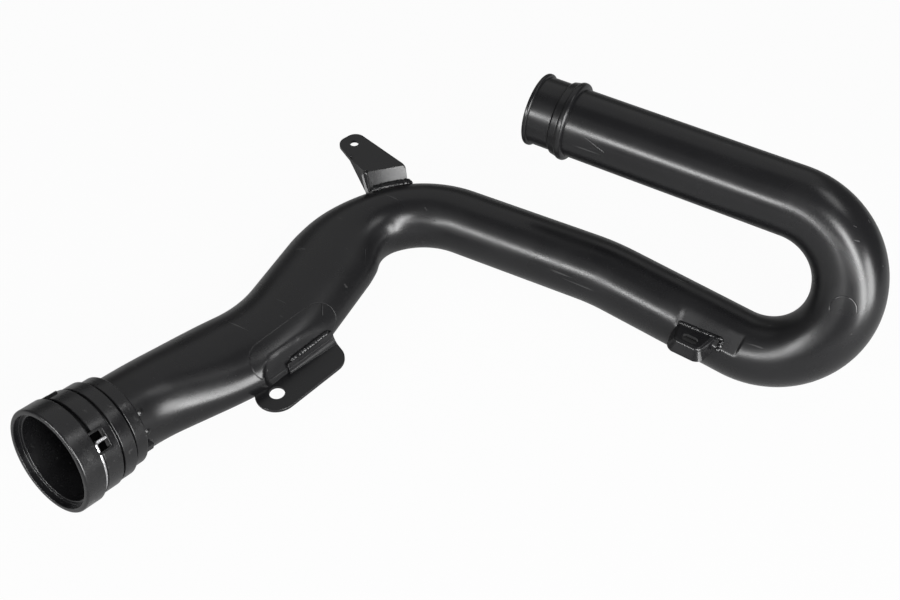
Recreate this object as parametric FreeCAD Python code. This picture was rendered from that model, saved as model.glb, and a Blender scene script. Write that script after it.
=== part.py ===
import FreeCAD, Part
import math
import os

from FreeCAD import Placement, Rotation, Vector

# Charge air pipe: a bent, painted metal tube with a clip coupling on one end, a beaded hose
# spigot on the other and three welded brackets. Millimetres and degrees. While it is built, +X
# runs along the long leg, +Y runs from the coupling towards the elbow, and +Z is up. At the end
# all pieces are moved so that the origin is the middle of the box around them, on the floor.

# Tube
tube_od = 50.0
tube_wall = 1.5
neck_od = 57.6
oval_width = 71.2
oval_height = 46.0

# Route of the tube's centre line: its corners, and the radius of the bend at each of them
neck_corner = Vector(-120, -207, 29.5)
oval_corner = Vector(-81, -114, 24)
elbow_corner = Vector(-91, 53, tube_od / 2)
leg_corner = Vector(99, 56, 31.5)
turn_corner = Vector(284, 43, 19)
coupling_heading = 81.8
coupling_tilt = 12.0
coupling_run = 80.2
cross_lean = 63.5
cross_back = 13.0
cross_straight = 1.0
return_run = 238.5
neck_bend = 110.0
oval_bend = 117.0
elbow_bend = 69.0
leg_bend = 200.0
turn_bend = 55.5

# Where the tube changes its section, measured along the route from the coupling's mouth
neck_straight = 9.5
oval_start = 147.0
oval_end = 259.5
round_start = 325.0
section_step = 22.0
blend_run = 14.0

# Hose spigot on the return leg, measured from its lip
lip_width = 3.6
lip_height = 1.8
spigot_land = 16.5
step_width = 5.8
step_height = 1.5
bead_width = 6.0
bead_height = 3.8

# Coupling, measured from its mouth
bore_shoulder = 2.7
coupler_wall = 1.6
rim_wall = 6.5
rim_width = 15.5
rim_round = 2.0
mouth_step = 2.9
mouth_depth = 4.5
slit_width = 3.0
band_wall = 4.7
band_width = 12.5
groove_width = 2.0
groove_depth = 2.0
middle_ring_wall = 3.8
middle_ring_width = 10.0
rear_ring_wall = 4.2
rear_ring_width = 9.5
ring_round = 1.4
stop_thickness = 1.5
seat_gap = 0.1
window_width = 13.0
window_length = 10.0
window_angles = (-42.0, -138.0)
lug_angle = 8.0
lug_length = 5.0
lug_width = 5.0
lug_height = 2.2

# Raised dimples in the neck, behind the coupling
dimple_radius = 2.0
dimple_height = 0.9
dimple_offset = 3.5
dimple_angles = (-43.0, -13.0, -137.0, -167.0)

# Retaining clip
wire_diameter = 2.2
clip_leg = 9.0
clip_gap = 0.2

# Seal
seal_width = 5.8
seal_depth = 2.4
seal_groove_depth = 1.2
seal_gap = 0.1
seal_chamfer = 0.9

# Sheet brackets
sheet = 2.5
bracket_gap = 0.1

# Side bracket, on a pressed flat of the oval stretch
side_station = 191.5
side_heading = 77.0
side_pad_angle = 18.0
side_pad_depth = 3.0
side_pad_length = 84.0
side_pad_width = 28.0
side_flange_length = 40.0
side_flange_height = 10.5
side_flange_top = 0.5
side_plate_reach = 22.0
side_plate_end = 15.0
side_hole_lead = 40.0
side_end_radius = 15.5
side_hole = 11.0
side_bend = 2.0
side_corner_radius = 13.0
side_bead = 3.4

# Upper bracket, standing on the elbow: places along its front edge and away from it, in plan
upper_rise = 7.0
upper_heading = 45.0
upper_setback = 0.94
upper_shift = 0.45
upper_front_width = 31.8
upper_neck_along = -24.4
upper_neck_reach = 19.8
upper_hole_along = -17.0
upper_hole_reach = 35.7
upper_hole = 7.0
upper_tip_radius = 10.0
upper_tip_flat = 1.5
upper_corner_radius = 3.0
upper_neck_radius = 12.0
upper_bend = 3.0
upper_skirt = 26.0
upper_arch_side = 5.0
upper_arch_top = 11.0
upper_bead = 6.0
upper_bead_lead = 1.5

# Lower bracket, a pressed cap on a flat of the long leg
lower_station = 71.5
lower_pad_angle = 45.0
lower_pad_depth = 1.4
lower_pad_length = 46.0
lower_pad_shift = 8.0
lower_plate_rise = 14.5
lower_plate_reach = 40.0
lower_plate_length = 37.0
lower_front_length = 27.0
lower_corner_radius = 5.0
lower_skirt = 7.5
lower_bend = 3.0
lower_slot_length = 12.0
lower_slot_width = 6.5
lower_slot_reach = 29.5
lower_bead = 3.6
lower_end_bead = 10.0

# Diameters of the coupling, built up from the neck that it sits on
coupler_bore = neck_od + 2 * bore_shoulder
mouth_bore = coupler_bore + 2 * mouth_step
rim_od = coupler_bore + 2 * rim_wall
band_od = coupler_bore + 2 * band_wall
middle_ring_od = coupler_bore + 2 * middle_ring_wall
rear_ring_od = neck_od + 2 * rear_ring_wall
slit_floor = coupler_bore / 2 + coupler_wall

# Places along the coupling, from its mouth
slit_start = rim_width
band_start = slit_start + slit_width
groove_start = band_start + band_width
middle_start = groove_start + groove_width
second_groove = middle_start + middle_ring_width
rear_start = second_groove + groove_width
coupler_length = rear_start + rear_ring_width
seal_start = middle_start + (middle_ring_width - seal_width) / 2 - seal_gap
neck_length = coupler_length + neck_straight

UP = Vector(0, 0, 1)
LONG = Vector(1, 0, 0)
FAR = 200.0


def heading(plan, rise):
    """Unit vector at an angle in plan from +X and an angle above the floor."""
    level = math.cos(math.radians(rise))
    return Vector(
        level * math.cos(math.radians(plan)),
        level * math.sin(math.radians(plan)),
        math.sin(math.radians(rise)),
    )


def unit(vector):
    """The vector at length one."""
    return vector / vector.Length


# Route


def make_route(corners, radii):
    """Straight runs joined by tangent arcs, as edges in order."""
    edges = []
    start = corners[0]
    for before, corner, after, radius in zip(corners, corners[1:], corners[2:], radii):
        come = unit(corner - before)
        go = unit(after - corner)
        half_turn = come.getAngle(go) / 2
        reach = radius * math.tan(half_turn)
        middle = corner + unit(go - come) * radius * (1 / math.cos(half_turn) - 1)
        first = corner - come * reach
        last = corner + go * reach
        edges.append(Part.LineSegment(start, first).toShape())
        edges.append(Part.Arc(first, middle, last).toShape())
        start = last
    edges.append(Part.LineSegment(start, corners[-1]).toShape())
    return edges


def place_on(edges, distance):
    """Point and direction at a distance along the edges."""
    for edge in edges[:-1]:
        if distance <= edge.Length:
            break
        distance -= edge.Length
    else:
        edge = edges[-1]
    at = edge.getParameterByLength(min(distance, edge.Length))
    return edge.valueAt(at), unit(edge.tangentAt(at))


def turn_reach(come, go, radius):
    """Distance from a corner to where its bend starts."""
    return radius * math.tan(come.getAngle(go) / 2)


coupling_axis = heading(coupling_heading, -coupling_tilt)
mouth = neck_corner - coupling_axis * coupling_run
cross = heading(90, cross_lean) * math.cos(math.radians(cross_back))
cross = cross - LONG * math.sin(math.radians(cross_back))
leg_way = unit(turn_corner - leg_corner)
cross_run = turn_reach(leg_way, cross, turn_bend) + cross_straight + turn_reach(cross, -LONG, turn_bend)
return_corner = turn_corner + cross * cross_run
lip = return_corner - LONG * return_run

shaped_corners = [neck_corner, oval_corner, elbow_corner]
route = make_route(
    [mouth] + shaped_corners + [leg_corner, turn_corner, return_corner, lip],
    [neck_bend, oval_bend, elbow_bend, leg_bend, turn_bend, turn_bend],
)
elbow_end = 2 * len(shaped_corners)
shaped_length = sum(edge.Length for edge in route[:elbow_end])
blend_end = place_on(route, shaped_length + blend_run)[0]
leg_start = route[elbow_end].valueAt(route[elbow_end].LastParameter)
round_route = [Part.LineSegment(blend_end, leg_start).toShape()] + route[elbow_end + 1:]


# Tube


def ease(share):
    """Smooth step from 0 to 1."""
    share = min(max(share, 0.0), 1.0)
    return share * share * (3 - 2 * share)


def section_size(distance):
    """Width and height of the shaped stretch at a distance from the mouth."""
    swell = ease((distance - neck_length) / (oval_start - neck_length))
    shrink = ease((distance - oval_end) / (round_start - oval_end))
    width = neck_od + (oval_width - neck_od) * swell
    height = neck_od + (oval_height - neck_od) * swell
    width += (tube_od - width) * shrink
    height += (tube_od - height) * shrink
    return width, height


def section_axes(way):
    """Level and upright directions across a run."""
    side = unit(way.cross(UP))
    return side, side.cross(way)


def section_wire(distance, inset):
    """Ellipse across the route, drawn in by the inset."""
    centre, way = place_on(route, distance)
    side, top = section_axes(way)
    width, height = section_size(distance)
    across = side * (width / 2 - inset)
    upright = top * (height / 2 - inset)
    squeeze = FreeCAD.Matrix(
        across.x, upright.x, way.x, centre.x,
        across.y, upright.y, way.y, centre.y,
        across.z, upright.z, way.z, centre.z,
        0, 0, 0, 1,
    )
    return Part.Wire(Part.makeCircle(1).transformGeometry(squeeze).Edges)


def shaped_core(inset):
    """The stretch from inside the coupling to just past the elbow, as two touching solids."""
    count = round((shaped_length - neck_length) / section_step)
    step = (shaped_length - neck_length) / count
    distances = [coupler_length, coupler_length + neck_straight / 2]
    distances += [neck_length + step * i for i in range(count + 1)]
    distances += [shaped_length + blend_run / 2, shaped_length + blend_run]
    loft = Part.makeLoft([section_wire(distance, inset) for distance in distances], True, False)
    end = mouth + coupling_axis * rear_start
    neck = Part.makeCylinder(neck_od / 2 - inset, rear_ring_width, end, coupling_axis)
    return [neck, loft]


def round_core(radius):
    """The round stretch from the elbow to the lip, as touching solids."""
    solids = []
    for edge in round_route:
        start, way = edge.valueAt(edge.FirstParameter), unit(edge.tangentAt(edge.FirstParameter))
        disc = Part.Face(Part.Wire(Part.makeCircle(radius, start, way)))
        if isinstance(edge.Curve, Part.Line):
            solids.append(disc.extrude(way * edge.Length))
        else:
            turn = math.degrees(edge.Length / edge.Curve.Radius)
            solids.append(disc.revolve(edge.Curve.Center, edge.Curve.Axis, turn))
    return solids


def revolved(points, origin, axis):
    """Ring turned about an axis from a closed outline of distance and radius."""
    side = section_axes(axis)[0]
    outline = [origin + axis * along + side * radius for along, radius in points]
    face = Part.Face(Part.makePolygon(outline + outline[:1]))
    return face.revolve(origin, axis, 360)


def spigot_rings(inset):
    """Stop collar of the hose spigot: a low step and a rounded bead, drawn in by the inset."""
    radius = tube_od / 2 - inset
    step_start = lip_width + spigot_land
    bead_start = step_start + step_width
    bead_middle = bead_start + bead_width / 2
    bead_end = bead_start + bead_width
    slope = step_height
    step = revolved(
        [
            (step_start + inset, 0),
            (step_start + inset, radius),
            (step_start + inset + slope, radius + step_height),
            (bead_middle, radius + step_height),
            (bead_middle, 0),
        ],
        lip,
        LONG,
    )
    side = section_axes(LONG)[0]
    base = [lip + LONG * along + side * radius for along in (bead_start + inset, bead_end - inset)]
    crest = lip + LONG * bead_middle + side * (radius + bead_height)
    arc = Part.Arc(base[0], crest, base[1]).toShape()
    foot = [base[1], lip + LONG * (bead_end - inset), lip + LONG * (bead_start + inset), base[0]]
    bead = Part.Face(Part.Wire([arc] + Part.makePolygon(foot).Edges)).revolve(lip, LONG, 360)
    return [step, bead]


def lip_ring():
    """Rolled lip at the end of the spigot."""
    side = section_axes(LONG)[0]
    radius = tube_od / 2
    ends = [lip + side * radius, lip + LONG * lip_width + side * radius]
    crest = lip + LONG * (lip_width / 2) + side * (radius + lip_height)
    arc = Part.Arc(ends[0], crest, ends[1]).toShape()
    foot = [ends[1], lip + LONG * lip_width, lip, ends[0]]
    return Part.Face(Part.Wire([arc] + Part.makePolygon(foot).Edges)).revolve(lip, LONG, 360)


def stadium(centre, along, normal, length, width, depth):
    """Round-ended prism that rises from a plane."""
    across = normal.cross(along)
    half = (length - width) / 2
    radius = width / 2
    ends = [centre - along * half, centre + along * half]
    corners = [ends[0] + across * radius, ends[1] + across * radius]
    corners += [ends[1] - across * radius, ends[0] - across * radius]
    edges = [
        Part.LineSegment(corners[0], corners[1]).toShape(),
        Part.Arc(corners[1], ends[1] + along * radius, corners[2]).toShape(),
        Part.LineSegment(corners[2], corners[3]).toShape(),
        Part.Arc(corners[3], ends[0] - along * radius, corners[0]).toShape(),
    ]
    return Part.Face(Part.Wire(edges)).extrude(normal * depth)


def block(corner, along, across, depth):
    """Box that starts at a corner and runs along three vectors."""
    outline = [corner, corner + along, corner + along + across, corner + across, corner]
    return Part.Face(Part.makePolygon(outline)).extrude(depth)


class Station:
    """Local directions at a place on the tube, with a flat pressed into its near side."""

    def __init__(self, centre, way, angle, half_width, half_height, depth):
        self.centre = centre
        self.way = way
        self.out, self.top = section_axes(way)
        turn = math.radians(angle)
        self.normal = self.out * math.cos(turn) + self.top * math.sin(turn)
        self.rise = self.top * math.cos(turn) - self.out * math.sin(turn)
        reach = math.hypot(half_width * math.cos(turn), half_height * math.sin(turn))
        touch_out = half_width ** 2 * math.cos(turn) / reach
        touch_top = half_height ** 2 * math.sin(turn) / reach
        self.flat = centre + self.out * touch_out + self.top * touch_top - self.normal * depth


side_width, side_height = section_size(side_station)
side_place = Station(
    place_on(route, side_station)[0],
    heading(side_heading, 0),
    side_pad_angle,
    side_width / 2,
    side_height / 2,
    side_pad_depth,
)
lower_centre, lower_way = place_on(round_route[2:], lower_station)
lower_place = Station(
    lower_centre, lower_way, lower_pad_angle, tube_od / 2, tube_od / 2, lower_pad_depth
)


def pressed_flats(inset):
    """Tools for the flats under the side and lower brackets, moved in by the inset."""
    side_tool = stadium(
        side_place.flat - side_place.normal * inset,
        side_place.way,
        side_place.normal,
        side_pad_length + 2 * inset,
        side_pad_width + 2 * inset,
        tube_od,
    )
    half = lower_pad_length / 2 + inset
    start = lower_place.flat - lower_place.normal * inset + lower_place.way * (lower_pad_shift - half)
    lower_tool = block(
        start - lower_place.rise * tube_od,
        lower_place.way * 2 * half,
        lower_place.rise * 2 * tube_od,
        lower_place.normal * tube_od,
    )
    return [side_tool, lower_tool]


def neck_dimples():
    """Raised dimples that hold the coupling on the neck."""
    side, top = section_axes(coupling_axis)
    balls = []
    sink = dimple_radius - dimple_height
    for angle in dimple_angles:
        out = side * math.cos(math.radians(angle)) - top * math.sin(math.radians(angle))
        centre = mouth + coupling_axis * (coupler_length + dimple_offset) + out * (neck_od / 2 - sink)
        balls.append(Part.makeSphere(dimple_radius, centre))
    return balls


def bore_stretches():
    """The hollow inside the tube, as touching solids that run out of both its ends."""
    radius = tube_od / 2 - tube_wall
    neck, loft = shaped_core(tube_wall)
    neck_end = mouth + coupling_axis * rear_start
    neck_way_out = Part.makeCylinder(neck_od / 2 - tube_wall, tube_wall, neck_end, -coupling_axis)
    lip_way_out = Part.makeCylinder(radius, tube_wall, lip, -LONG)
    spigot_end = lip_way_out.multiFuse(round_core(radius) + spigot_rings(tube_wall))
    return [loft, neck.fuse(neck_way_out), spigot_end]


def make_tube():
    """Bent tube with its formed ends and pressed flats: as a filled solid, and hollow."""
    neck, loft = shaped_core(0)
    outer = neck.multiFuse([loft] + round_core(tube_od / 2) + spigot_rings(0) + [lip_ring()])
    for tool in pressed_flats(0):
        outer = outer.cut(tool)
    for dimple in neck_dimples():
        outer = outer.fuse(dimple)
    pipe = outer
    for stretch in bore_stretches():
        for tool in pressed_flats(tube_wall):
            stretch = stretch.cut(tool)
        pipe = pipe.cut(stretch)
    return outer, pipe.removeSplitter()


# Coupling


def coupler_placement():
    """Puts local +Z on the coupling's axis, into the pipe, and local +X level across it."""
    side, top = section_axes(coupling_axis)
    return Placement(mouth, Rotation(side, -top, coupling_axis, "ZXY"))


def rounded_ring(diameter, start, length, rounding):
    """Solid disc with both rims rounded."""
    disc = Part.makeCylinder(diameter / 2, length, Vector(0, 0, start))
    rims = [edge for edge in disc.Edges if len(edge.Vertexes) == 1]
    return disc.makeFillet(rounding, rims)


def make_coupler():
    """Moulded coupling: rim, slit, band and two rings outside; stepped bore inside."""
    body = Part.makeCylinder(rear_ring_od / 2 - groove_depth, coupler_length)
    body = body.fuse(Part.makeCylinder(slit_floor, second_groove))
    body = body.fuse(rounded_ring(rim_od, 0, rim_width, rim_round))
    body = body.fuse(rounded_ring(band_od, band_start, band_width, ring_round))
    body = body.fuse(rounded_ring(middle_ring_od, middle_start, middle_ring_width, ring_round))
    body = body.fuse(rounded_ring(rear_ring_od, rear_start, rear_ring_width, ring_round))
    lug = Part.makeBox(
        lug_height + ring_round + seat_gap,
        lug_width,
        lug_length + ring_round,
        Vector(neck_od / 2 + 2 * seat_gap, -lug_width / 2, coupler_length - ring_round),
    )
    lug.rotate(Vector(0, 0, 0), UP, lug_angle)
    body = body.fuse(lug)
    bore = Part.makeCylinder(coupler_bore / 2, second_groove - stop_thickness)
    bore = bore.fuse(Part.makeCylinder(mouth_bore / 2, mouth_depth))
    bore = bore.fuse(Part.makeCylinder(neck_od / 2 - tube_wall, coupler_length))
    seat = Part.makeCylinder(neck_od / 2 + seat_gap, rear_ring_width, Vector(0, 0, rear_start))
    seal_groove = Part.makeCylinder(
        coupler_bore / 2 + seal_groove_depth, seal_width + 2 * seal_gap, Vector(0, 0, seal_start)
    )
    body = body.cut(bore.multiFuse([seat, seal_groove]))
    for angle in window_angles:
        window = Part.makeBox(
            rim_od, window_width, window_length, Vector(0, -window_width / 2, slit_start)
        )
        window.rotate(Vector(0, 0, 0), UP, angle)
        body = body.cut(window)
    return body.removeSplitter()


def make_clip():
    """Open wire ring that lies in the slit, with both ends bent back in the windows."""
    wire_radius = wire_diameter / 2
    ring_radius = slit_floor + clip_gap + wire_radius
    level = slit_start + slit_width / 2
    first, last = window_angles[0], 360 + window_angles[1]
    section = Part.makeCircle(wire_radius, Vector(ring_radius, 0, level), Vector(0, 1, 0))
    ring = Part.Face(Part.Wire(section)).revolve(Vector(0, 0, 0), UP, last - first)
    ring.rotate(Vector(0, 0, 0), UP, first)
    solids = []
    for angle in (first, last):
        out = Vector(math.cos(math.radians(angle)), math.sin(math.radians(angle)), 0)
        end = out * ring_radius + UP * level
        solids.append(Part.makeSphere(wire_radius, end))
        solids.append(Part.makeCylinder(wire_radius, clip_leg - wire_radius, end, UP))
    return ring.multiFuse(solids).removeSplitter()


def make_seal():
    """Rubber ring with a chamfered inner lip."""
    outer = coupler_bore / 2 + seal_groove_depth - seal_gap
    inner = outer - seal_depth
    start = seal_start + seal_gap
    end = start + seal_width
    outline = [
        (start, outer),
        (start, inner + seal_chamfer),
        (start + seal_chamfer, inner),
        (end - seal_chamfer, inner),
        (end, inner + seal_chamfer),
        (end, outer),
    ]
    return revolved(outline, mouth, coupling_axis)


# Brackets


def rounded_outline(points, radii):
    """Closed flat face with each corner rounded by its own radius."""
    count = len(points)
    marks = []
    for i, radius in enumerate(radii):
        corner = points[i]
        come = unit(corner - points[i - 1])
        go = unit(points[(i + 1) % count] - corner)
        half_turn = come.getAngle(go) / 2
        reach = radius * math.tan(half_turn)
        middle = corner + unit(go - come) * radius * (1 / math.cos(half_turn) - 1)
        marks.append((corner - come * reach, middle, corner + go * reach))
    edges = []
    for i, (first, middle, last) in enumerate(marks):
        if radii[i] > 0:
            edges.append(Part.Arc(first, middle, last).toShape())
        following = marks[(i + 1) % count][0]
        if (following - last).Length > 0.001:
            edges.append(Part.LineSegment(last, following).toShape())
    return Part.Face(Part.Wire(edges))


def top_edges(solid, height, points):
    """Edges at a height that pass through any of the given points."""
    chosen = []
    for edge in solid.Edges:
        level = max(abs(vertex.Z - height) for vertex in edge.Vertexes)
        near = min(edge.distToShape(Part.Vertex(point))[0] for point in points)
        if level < 0.001 and near < 0.01:
            chosen.append(edge)
    return chosen


def surface_height(solid, point):
    """Height of the solid's top above a point on the floor."""
    probe = Part.makeLine(Vector(point.x, point.y, 0), Vector(point.x, point.y, FAR))
    return probe.common(solid).BoundBox.ZMax


def bead_run(start, end, diameter):
    """Round bar with round ends, before it is trimmed to what it joins."""
    radius = diameter / 2
    bar = Part.makeCylinder(radius, (end - start).Length, start, unit(end - start))
    return bar.multiFuse([Part.makeSphere(radius, start), Part.makeSphere(radius, end)])


def trimmed(shape, tools):
    """The largest solid left of a shape after the tools have been cut from it."""
    for tool in tools:
        shape = shape.cut(tool)
    return max(shape.Solids, key=lambda solid: solid.Volume)


def side_frame():
    """Corner where the side bracket's flange and the underside of its plate would meet."""
    inner = side_place.flat + side_place.normal * bracket_gap + side_place.rise * side_flange_top
    return inner - side_place.rise * side_flange_height


def make_side_bracket(outer):
    """Bent plate: a level tongue with a hole, and a flange that lies on the side flat."""
    place = side_place
    corner = side_frame()
    turn = math.radians(90 - side_pad_angle)
    outer_bend = side_bend + sheet
    reach = outer_bend * math.tan(turn / 2)
    half = side_flange_length / 2
    base = corner + place.rise * reach - place.way * half
    length = place.way * side_flange_length
    thickness = place.normal * sheet
    strip = Part.Face(
        Part.makePolygon([base, base + length, base + length + thickness, base + thickness, base])
    )
    flange = strip.extrude(place.rise * (side_flange_height - reach))
    bend = strip.revolve(base + place.normal * outer_bend, place.way, -math.degrees(turn))
    near = corner - place.way * (side_hole_lead + side_end_radius)
    far = corner + place.way * side_plate_end
    tuck = place.out * (side_plate_reach - 2 * side_end_radius)
    reach_out = place.out * side_plate_reach
    shoulder = corner - place.way * (half + sheet)
    outline = rounded_outline(
        [
            near + tuck,
            shoulder + tuck,
            shoulder + place.out * reach,
            far + place.out * reach,
            far + reach_out,
            near + reach_out,
        ],
        [side_end_radius, side_bend, 0, 0, side_corner_radius, side_end_radius],
    )
    hole_centre = near + place.way * side_end_radius + reach_out - place.out * side_end_radius
    body = outline.extrude(UP * sheet).multiFuse([bend, flange])
    hole = Part.makeCylinder(side_hole / 2, 3 * sheet, hole_centre - UP * sheet)
    return trimmed(body, [hole, outer]).removeSplitter()


def make_side_weld():
    """Quarter-round bead between the flange's top edge and the flat."""
    place = side_place
    corner = side_frame() + place.rise * side_flange_height - place.way * (side_flange_length / 2)
    middle = corner + (place.normal + place.rise) * (side_bead / math.sqrt(2))
    arc = Part.Arc(corner + place.normal * side_bead, middle, corner + place.rise * side_bead)
    sides = Part.makePolygon([corner + place.rise * side_bead, corner, corner + place.normal * side_bead])
    return Part.Face(Part.Wire([arc.toShape()] + sides.Edges)).extrude(place.way * side_flange_length)


def upper_frame():
    """Middle of the upper bracket's front edge, and the directions along it and into the plate."""
    come = unit(elbow_corner - oval_corner)
    go = unit(leg_corner - elbow_corner)
    inward = unit(go - come)
    elbow_middle = elbow_corner + inward * elbow_bend * (1 / math.cos(come.getAngle(go) / 2) - 1)
    outward = unit(Vector(-inward.x, -inward.y, 0))
    along = heading(upper_heading, 0)
    middle = elbow_middle + outward * (tube_od / 2 - upper_setback) + along * upper_shift
    middle.z = tube_od + upper_rise
    return middle, along, UP.cross(along)


def make_upper_bracket(outer):
    """Pressed tongue with a hole, and two turned-down walls that stand on the elbow."""
    front_middle, along_front, into_front = upper_frame()
    front_left = front_middle - along_front * (upper_front_width / 2)
    front_right = front_middle + along_front * (upper_front_width / 2)
    neck = front_middle + along_front * upper_neck_along + into_front * upper_neck_reach
    hole_centre = front_middle + along_front * upper_hole_along + into_front * upper_hole_reach
    left_middle = (front_left + neck) / 2
    ahead = unit(hole_centre - front_middle)
    across = ahead.cross(UP)
    tip = hole_centre + ahead * upper_tip_radius
    corners = [front_left, front_right]
    corners += [tip + across * upper_tip_radius, tip - across * upper_tip_radius, neck]
    tip_round = upper_tip_radius - upper_tip_flat
    radii = [upper_corner_radius, upper_corner_radius, tip_round, tip_round, upper_neck_radius]
    skirt = UP * -(upper_skirt + sheet)
    solid = rounded_outline(corners, radii).extrude(skirt)
    solid = solid.makeFillet(upper_bend, top_edges(solid, front_middle.z, [front_middle, left_middle]))
    along_left = unit(neck - front_left)
    into_left = along_left.cross(UP)
    spread = sheet / (1 + into_front.dot(into_left))
    inner_corner = front_left + (into_front + into_left) * spread
    hollow = block(inner_corner - UP * sheet, along_front * FAR, along_left * FAR, skirt * 2)
    gusset_top = neck - UP * sheet
    slope = unit(front_left + skirt - gusset_top)
    below = into_left.cross(slope)
    wide = into_left * 2 * FAR
    under_gusset = block(gusset_top - wide / 2, slope * FAR, wide, below * FAR)
    under_tip = block(gusset_top - wide / 2, along_left * FAR, wide, skirt * 2)
    span = (front_right - front_left).Length - 2 * upper_arch_side
    arch_top = front_left + along_front * upper_arch_side - UP * upper_arch_top - into_front * sheet
    arch = block(arch_top, along_front * span, into_front * 3 * sheet, skirt)
    hole = Part.makeCylinder(upper_hole / 2, 3 * sheet, hole_centre - UP * 2 * sheet)
    return trimmed(solid, [hollow, under_gusset, under_tip, arch, hole, outer])


def make_upper_weld(outer, bracket):
    """Bead along the foot of the front wall, on the tube."""
    middle, along, into = upper_frame()
    half = upper_front_width / 2 - upper_bead
    feet = []
    for end in (middle - along * half, middle + along * half):
        place = end - into * upper_bead_lead
        feet.append(Vector(place.x, place.y, surface_height(outer, place)))
    return trimmed(bead_run(feet[0], feet[1], upper_bead), [outer, bracket])


def lower_frame():
    """Middle of the lower bracket's top at the tube's axis, and its level directions."""
    ahead = unit(Vector(lower_place.way.x, lower_place.way.y, 0))
    return lower_place.centre + UP * lower_plate_rise, ahead, ahead.cross(UP)


def lower_outline(inset, root):
    """Level outline of the lower bracket, drawn in by the inset, from a root line out to its front."""
    middle, ahead, out = lower_frame()
    root_half = lower_plate_length / 2 - inset
    front_half = lower_front_length / 2 - inset
    front = lower_plate_reach - inset
    corners = [
        middle - ahead * root_half + out * root,
        middle + ahead * root_half + out * root,
        middle + ahead * front_half + out * front,
        middle - ahead * front_half + out * front,
    ]
    rounding = lower_corner_radius - inset
    return rounded_outline(corners, [0, 0, rounding, rounding])


def make_lower_bracket(outer):
    """Pressed cap with a slot, welded to the lower flat by its open side."""
    middle, ahead, out = lower_frame()
    root = (lower_place.flat - lower_place.centre).dot(out)
    solid = lower_outline(0, root).extrude(UP * -(lower_skirt + sheet))
    rims = []
    for edge in solid.Edges:
        level = max(abs(vertex.Z - middle.z) for vertex in edge.Vertexes)
        ahead_of_root = max((vertex.Point - middle).dot(out) for vertex in edge.Vertexes) > root + 0.001
        if level < 0.001 and ahead_of_root:
            rims.append(edge)
    solid = solid.makeFillet(lower_bend, rims)
    hollow = lower_outline(sheet, root - sheet)
    hollow.translate(UP * -sheet)
    slot_centre = middle + out * lower_slot_reach - UP * 2 * sheet
    slot = stadium(slot_centre, ahead, UP, lower_slot_length, lower_slot_width, 3 * sheet)
    return trimmed(solid, [hollow.extrude(UP * -2 * lower_skirt), slot, outer])


def make_lower_weld(outer, bracket):
    """Bead along the plate's joint with the flat, turned down the bracket's far end."""
    middle = lower_frame()[0]
    half = lower_plate_length / 2
    ends = []
    for along in (lower_bead - half, half):
        foot = lower_place.flat + lower_place.way * along
        ends.append(foot + lower_place.rise * ((middle.z - foot.z) / lower_place.rise.z))
    down = ends[1] - lower_place.rise * lower_end_bead
    run = bead_run(ends[0], ends[1], lower_bead).fuse(bead_run(ends[1], down, lower_bead))
    return trimmed(run, [outer, bracket])


def main():
    os.makedirs("parts", exist_ok=True)
    outer, pipe = make_tube()
    pieces = {"pipe": pipe, "seal_ring": make_seal()}
    for name, shape in (("coupler_body", make_coupler()), ("retaining_clip", make_clip())):
        shape.Placement = coupler_placement()
        pieces[name] = shape
    pieces["side_bracket"] = make_side_bracket(outer)
    pieces["side_bracket_weld"] = make_side_weld()
    upper = make_upper_bracket(outer)
    pieces["upper_bracket"] = upper
    pieces["upper_bracket_weld"] = make_upper_weld(outer, upper)
    lower = make_lower_bracket(outer)
    pieces["lower_bracket"] = lower
    pieces["lower_bracket_weld"] = make_lower_weld(outer, lower)
    box = FreeCAD.BoundBox()
    for shape in pieces.values():
        box.add(shape.optimalBoundingBox(False, False))
    shift = Vector(-box.Center.x, -box.Center.y, -box.ZMin)
    for name, shape in pieces.items():
        shape.translate(shift)
        shape.exportStep(f"parts/{name}.step")
        print(name, shape.isValid(), len(shape.Solids), round(shape.Volume), shape.BoundBox)
    print("shift", shift)


main()
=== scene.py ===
import math
import random

import bmesh
import bpy
from mathutils import Matrix, Quaternion, Vector
from mathutils.bvhtree import BVHTree


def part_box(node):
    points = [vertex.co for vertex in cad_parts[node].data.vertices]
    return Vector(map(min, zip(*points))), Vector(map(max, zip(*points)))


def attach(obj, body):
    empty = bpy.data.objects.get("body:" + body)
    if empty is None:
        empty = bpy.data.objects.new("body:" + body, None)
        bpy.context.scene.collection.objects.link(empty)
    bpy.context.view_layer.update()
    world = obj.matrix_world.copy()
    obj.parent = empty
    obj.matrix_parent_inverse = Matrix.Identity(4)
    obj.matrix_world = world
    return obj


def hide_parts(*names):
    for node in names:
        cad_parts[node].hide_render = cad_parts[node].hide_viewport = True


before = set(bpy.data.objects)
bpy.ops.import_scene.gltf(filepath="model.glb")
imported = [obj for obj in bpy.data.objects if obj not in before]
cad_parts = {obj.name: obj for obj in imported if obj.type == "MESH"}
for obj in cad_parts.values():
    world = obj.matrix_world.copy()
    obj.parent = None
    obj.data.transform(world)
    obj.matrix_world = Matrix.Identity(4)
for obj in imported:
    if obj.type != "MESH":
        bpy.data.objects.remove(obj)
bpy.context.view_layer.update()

# Charge air pipe: a bent, black-painted metal tube with a moulded clip coupling on its oval leg, a
# beaded hose spigot on its return leg and three welded sheet brackets. Each piece is modelled in
# millimetres in the drawing frame, +X along the long leg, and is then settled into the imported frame.

UP = Vector((0, 0, 1))
LONG = Vector((1, 0, 0))
METRES = 0.001

# Tube sizes
tube_od = 50.0
tube_wall = 1.5
neck_od = 57.6
oval_width = 71.2
oval_height = 46.0

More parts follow.
